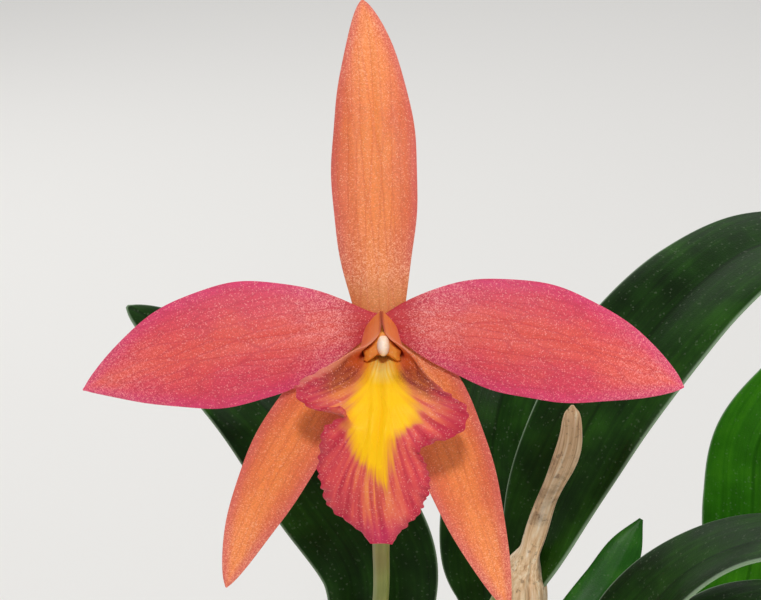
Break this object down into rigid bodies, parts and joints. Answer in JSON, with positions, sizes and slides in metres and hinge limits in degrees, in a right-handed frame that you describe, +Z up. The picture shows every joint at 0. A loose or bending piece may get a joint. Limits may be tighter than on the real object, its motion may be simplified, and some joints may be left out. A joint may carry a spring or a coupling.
{
  "type": "potted cattleya orchid",
  "caption": "Cattleya orchid in a clay pot: one orange and rose bloom with a ruffled, yellow-throated lip, strap leaves on club-shaped bulbs with papery sheaths, roots in bark.",
  "frame": {"origin": "middle of the pot's flat underside", "axes": "+Z up the pot's axis; the bloom faces -Y and tilts a little up; +X is to the right of someone who faces the bloom"},
  "size_m": [0.1806, 0.1474, 0.3419],
  "materials": {
    "terracotta": "matte",
    "bark": "matte",
    "rhizome": "matte",
    "root": "matte",
    "bulb": "satin",
    "papery_sheath": "matte",
    "leaf": "satin",
    "flower_stem": "satin",
    "sepal": "matte",
    "petal": "matte",
    "lip": "matte",
    "column": "matte",
    "anther": "matte"
  },
  "bodies": {
    "root": {"pot": "terracotta", "bark": "bark", "rhizome": "rhizome", "root_1": "root", "root_2": "root", "root_3": "root", "root_4": "root", "root_5": "root", "root_6": "root", "bulb_1": "bulb", "bulb_2": "bulb", "bulb_3": "bulb", "bulb_4": "bulb", "bulb_5": "bulb", "bulb_6": "bulb", "bulb_7": "bulb", "sheath_1": "papery_sheath", "sheath_2": "papery_sheath", "sheath_3": "papery_sheath", "sheath_4": "papery_sheath", "sheath_5": "papery_sheath", "sheath_6": "papery_sheath", "sheath_7": "papery_sheath", "leaf_2": "leaf", "leaf_3": "leaf", "leaf_4": "leaf", "leaf_5": "leaf", "leaf_6": "leaf", "leaf_7": "leaf", "shoot": "leaf", "spathe": "flower_stem", "peduncle": "flower_stem", "pedicel": "flower_stem", "dry_spathe": "papery_sheath", "dorsal_sepal": "sepal", "left_sepal": "sepal", "right_sepal": "sepal", "left_petal": "petal", "right_petal": "petal", "lip": "lip", "column": "column", "anther_cap": "anther"}
  },
  "joints": []
}
